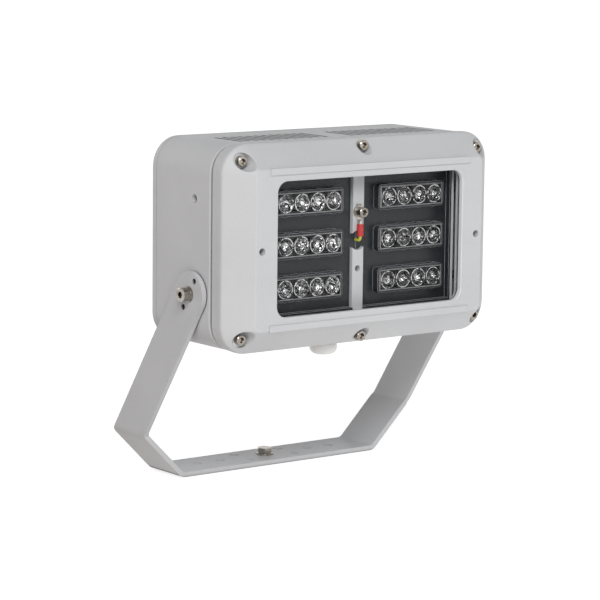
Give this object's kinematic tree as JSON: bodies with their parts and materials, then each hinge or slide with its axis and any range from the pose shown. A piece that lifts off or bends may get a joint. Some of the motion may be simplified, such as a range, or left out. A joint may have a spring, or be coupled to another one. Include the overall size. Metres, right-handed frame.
{
  "type": "infrared illuminator",
  "caption": "Rectangular cast infrared floodlight with lens rows behind a window, hung by two pivot screws in a folded flat-bar bracket.",
  "frame": {"origin": "centre of the bracket's base bar, on its underside", "axes": "+X along the base bar and the pivot axis, -Y the way the window faces, +Z from the base bar up to the head"},
  "size_m": [0.3464, 0.193, 0.3325],
  "materials": {
    "bracket_paint": "satin paint on steel",
    "casting_paint": "textured light grey paint on cast aluminium",
    "tray_casting": "satin",
    "window_glass": "clear",
    "bright_metal": "satin",
    "white_plastic": "matt",
    "dark_plastic": "matt",
    "cream_plastic": "matt",
    "plated_copper": "tinned",
    "wire_green": "green and yellow insulation",
    "cable_grey": "matt",
    "emitter": "gloss",
    "clear_lens": "clear moulding",
    "board": "dark solder mask on aluminium",
    "black_plastic": "matt",
    "black_rubber": "matt",
    "red_sleeve": "gloss",
    "stainless": "stainless steel"
  },
  "bodies": {
    "bracket": {"bracket": "bracket_paint", "bracket_bolt": "stainless", "bracket_bolt_washer": "stainless"},
    "lamp_head": {"bezel_screws": "stainless", "cable_entry_plug": "white_plastic", "driver": "dark_plastic", "driver_screws": "stainless", "earth_lug": "plated_copper", "earth_screw": "stainless", "earth_sleeve": "red_sleeve", "earth_spring_washer": "stainless", "earth_washer": "stainless", "earth_wire": "wire_green", "front_bezel": "casting_paint", "front_gasket": "black_rubber", "housing": "casting_paint", "led_board_left_bottom": "board", "led_board_left_middle": "board", "led_board_left_top": "board", "led_board_right_bottom": "board", "led_board_right_middle": "board", "led_board_right_top": "board", "led_board_screws": "stainless", "led_emitters": "emitter", "led_lead_left": "cable_grey", "led_lead_right": "cable_grey", "lens_bar_left_bottom": "clear_lens", "lens_bar_left_middle": "clear_lens", "lens_bar_left_top": "clear_lens", "lens_bar_right_bottom": "clear_lens", "lens_bar_right_middle": "clear_lens", "lens_bar_right_top": "clear_lens", "light_cover_left": "black_plastic", "light_cover_right": "black_plastic", "light_tray": "tray_casting", "light_tray_screws": "stainless", "pivot_screws": "stainless", "pivot_washers": "stainless", "rear_cover": "casting_paint", "rear_cover_screws": "stainless", "rear_gasket": "black_rubber", "supply_lead": "cable_grey", "terminal_block": "cream_plastic", "terminal_block_screws": "stainless", "window_clamp": "bright_metal", "window_clamp_screws": "stainless", "window_glass": "window_glass", "window_seal": "black_rubber"}
  },
  "joints": [
    {"name": "tilt", "type": "hinge", "parent": "bracket", "child": "lamp_head", "pos_m": [0, -0.1, 0.1915], "axis": [1, 0, 0], "range_deg": [-90, 90]}
  ]
}
